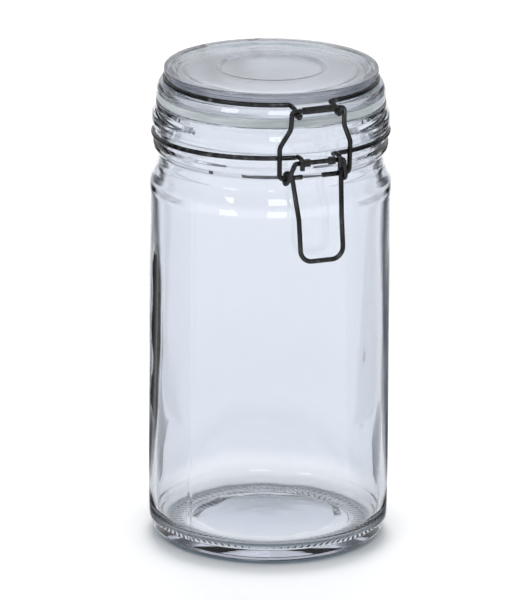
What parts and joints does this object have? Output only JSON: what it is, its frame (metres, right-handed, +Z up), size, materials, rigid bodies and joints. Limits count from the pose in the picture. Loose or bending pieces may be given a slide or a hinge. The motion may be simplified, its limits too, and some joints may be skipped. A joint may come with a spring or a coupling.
{
  "type": "clip-top jar",
  "caption": "Clear glass storage jar with a hinged glass lid, a rubber gasket and a dark steel wire clasp that clamps the lid shut.",
  "frame": {"origin": "centre of the base, on the surface the jar stands on", "axes": "+Z up along the jar's axis, clasp at -Y, lid hinge at +Y, +X to the right when the clasp is seen from the front"},
  "size_m": [0.1, 0.1148, 0.2011],
  "materials": {
    "clear_glass": "clear, polished",
    "gasket_rubber": "milky silicone, satin",
    "dark_wire": "dark coated steel, satin"
  },
  "bodies": {
    "jar": {"jar_body": "clear_glass", "neck_wire": "dark_wire"},
    "lid": {"lid": "clear_glass", "gasket": "gasket_rubber", "lid_wire": "dark_wire"},
    "lever": {"lever": "dark_wire"},
    "link": {"link": "dark_wire"}
  },
  "joints": [
    {"name": "lid_hinge", "type": "hinge", "parent": "jar", "child": "lid", "pos_m": [0, 0.05432, 0.1795], "axis": [-1, 0, 0], "range_deg": [0, 100]},
    {"name": "lever_pivot", "type": "hinge", "parent": "jar", "child": "lever", "pos_m": [0, -0.054, 0.1745], "axis": [-1, 0, 0], "range_deg": [0, 100]},
    {"name": "link_pivot", "type": "hinge", "parent": "lever", "child": "link", "pos_m": [0, -0.0518, 0.1681], "axis": [-1, 0, 0], "range_deg": [-135, 0]}
  ],
  "couplings": [
    {"joint": "lever_pivot", "follows": "lid_hinge", "ratio": 1},
    {"joint": "link_pivot", "follows": "lid_hinge", "ratio": -1.35}
  ]
}
